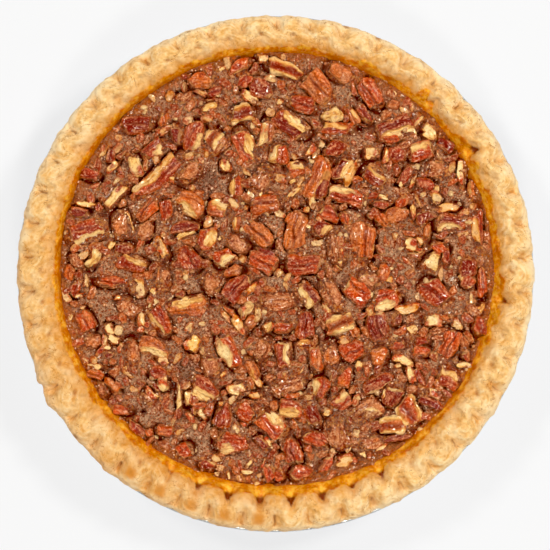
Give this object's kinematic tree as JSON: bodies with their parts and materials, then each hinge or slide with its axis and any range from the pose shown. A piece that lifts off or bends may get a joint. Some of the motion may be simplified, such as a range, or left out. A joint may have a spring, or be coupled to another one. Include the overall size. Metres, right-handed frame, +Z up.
{
  "type": "pecan pie",
  "caption": "Whole round pecan pie in a foil tin, with a fluted pastry rim and broken pecan halves baked into a brown custard.",
  "frame": {"origin": "middle of the tin's flat underside, on the surface that the pie stands on", "axes": "+Z up out of the pie; +X and +Y in the plane of the tin's base, with +Y towards the side where the pastry rim is narrowest"},
  "size_m": [0.244, 0.244, 0.0394],
  "materials": {
    "foil": "satin",
    "pastry": "dry, slightly rough",
    "custard": "sticky gloss",
    "pecan": "glazed"
  },
  "bodies": {
    "root": {"foil_tin": "foil", "crust": "pastry", "filling": "custard", "pecan_01": "pecan", "pecan_02": "pecan", "pecan_03": "pecan", "pecan_04": "pecan", "pecan_05": "pecan", "pecan_06": "pecan", "pecan_07": "pecan", "pecan_08": "pecan", "pecan_09": "pecan", "pecan_10": "pecan", "pecan_11": "pecan", "pecan_12": "pecan", "pecan_13": "pecan", "pecan_14": "pecan", "pecan_15": "pecan", "pecan_16": "pecan", "pecan_17": "pecan", "pecan_18": "pecan", "pecan_19": "pecan", "pecan_20": "pecan", "pecan_21": "pecan", "pecan_22": "pecan", "pecan_23": "pecan", "pecan_24": "pecan", "pecan_25": "pecan", "pecan_26": "pecan", "pecan_27": "pecan", "pecan_28": "pecan", "pecan_29": "pecan", "pecan_30": "pecan", "pecan_31": "pecan", "pecan_32": "pecan", "pecan_33": "pecan", "pecan_34": "pecan", "pecan_35": "pecan", "pecan_36": "pecan", "pecan_37": "pecan", "pecan_38": "pecan", "pecan_39": "pecan", "pecan_40": "pecan", "pecan_41": "pecan", "pecan_42": "pecan", "pecan_43": "pecan", "pecan_44": "pecan", "pecan_45": "pecan", "pecan_46": "pecan", "pecan_47": "pecan", "pecan_48": "pecan", "pecan_49": "pecan", "pecan_50": "pecan"}
  },
  "joints": []
}
